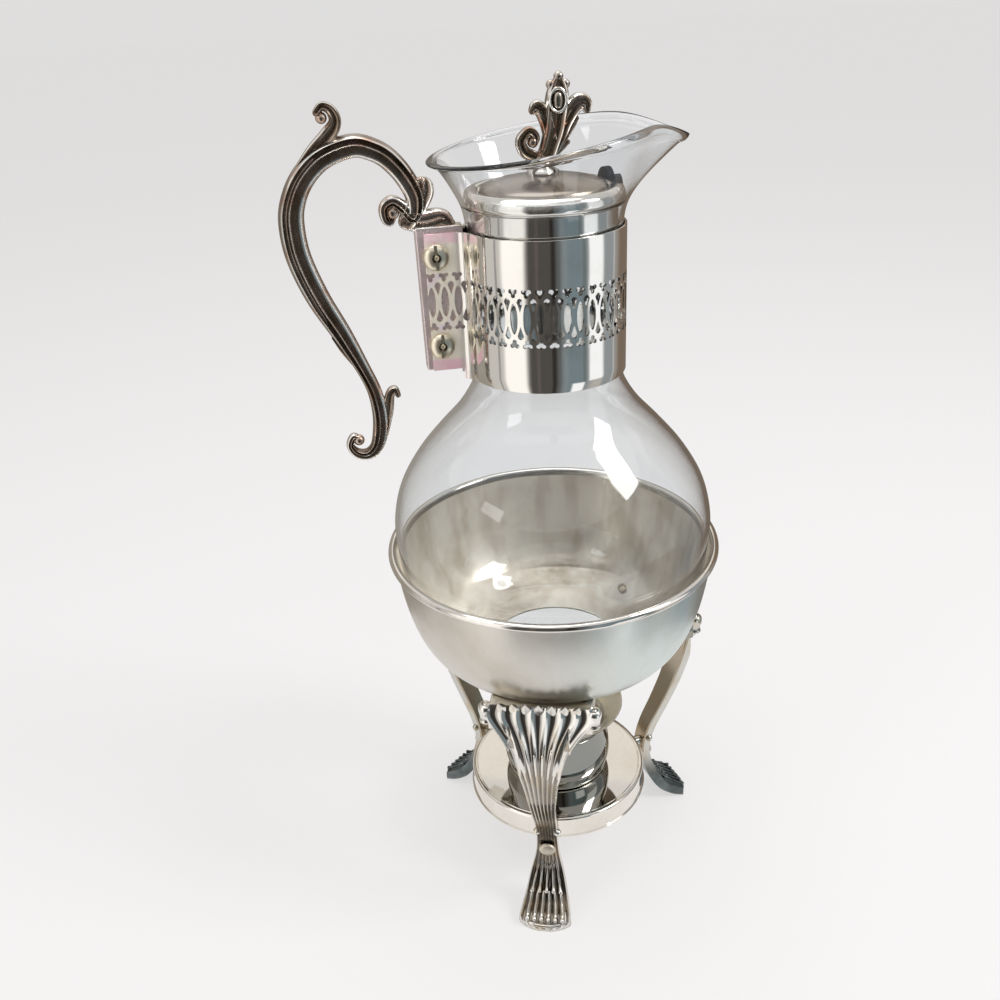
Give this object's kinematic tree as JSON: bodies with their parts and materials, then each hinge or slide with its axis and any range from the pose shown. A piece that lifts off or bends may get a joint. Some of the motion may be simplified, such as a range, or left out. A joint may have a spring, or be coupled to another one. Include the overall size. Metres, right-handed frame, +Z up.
{
  "type": "coffee carafe with warmer",
  "caption": "Glass coffee carafe with a pierced neck collar, scroll handle and lift-off lid, standing in a footed warmer bowl over a loose candle cup.",
  "frame": {"origin": "the middle of the footprint of the whole object, on the table under the feet", "axes": "+Z up, +X from the handle to the pouring spout, the clamp screws' heads face -Y"},
  "size_m": [0.1656, 0.14, 0.3454],
  "materials": {
    "silver_plate": "polished silver plate on brass sheet, lightly tarnished",
    "cast_silver_plate": "cast, silver plated and polished, dark in the recesses",
    "dark_silver_plate": "cast and silver plated, darkened, with a copper tone on the high lines",
    "screw_brass": "worn plated brass",
    "clear_glass": "clear blown glass with a fire-polished rim",
    "black_liner": "matt black moulding",
    "candle_tin": "drawn aluminium foil cup",
    "candle_wax": "white paraffin wax",
    "candle_wick": "braided cotton"
  },
  "bodies": {
    "stand": {"warmer_bowl": "silver_plate", "leg_spout_side": "cast_silver_plate", "leg_rear": "cast_silver_plate", "leg_front": "cast_silver_plate", "bowl_screw_spout_side_1": "screw_brass", "bowl_screw_spout_side_2": "screw_brass", "bowl_screw_rear_1": "screw_brass", "bowl_screw_rear_2": "screw_brass", "bowl_screw_front_1": "screw_brass", "bowl_screw_front_2": "screw_brass", "tray_screw_spout_side": "screw_brass", "tray_screw_rear": "screw_brass", "tray_screw_front": "screw_brass", "burner_tray": "silver_plate"},
    "burner": {"burner_cup": "silver_plate"},
    "candle": {"candle_tin": "candle_tin", "candle_wax": "candle_wax", "candle_wick": "candle_wick"},
    "carafe": {"carafe_glass": "clear_glass", "neck_collar": "silver_plate", "handle": "dark_silver_plate", "clamp_screw_upper": "screw_brass", "clamp_screw_lower": "screw_brass", "clamp_nut_upper": "screw_brass", "clamp_nut_lower": "screw_brass"},
    "lid": {"lid_cover": "silver_plate", "lid_liner": "black_liner", "lid_finial": "dark_silver_plate", "finial_nut": "screw_brass"}
  },
  "joints": [
    {"name": "carafe_lift", "type": "slide", "parent": "stand", "child": "carafe", "axis": [0, 0, 1], "range_m": [0, 0.09]},
    {"name": "lid_lift", "type": "slide", "parent": "carafe", "child": "lid", "axis": [0, 0, 1], "range_m": [0, 0.06]},
    {"name": "burner_slide", "type": "slide", "parent": "stand", "child": "burner", "axis": [0.6626, -0.749, 0], "range_m": [0, 0.08]},
    {"name": "candle_lift", "type": "slide", "parent": "burner", "child": "candle", "axis": [0, 0, 1], "range_m": [0, 0.035]}
  ]
}
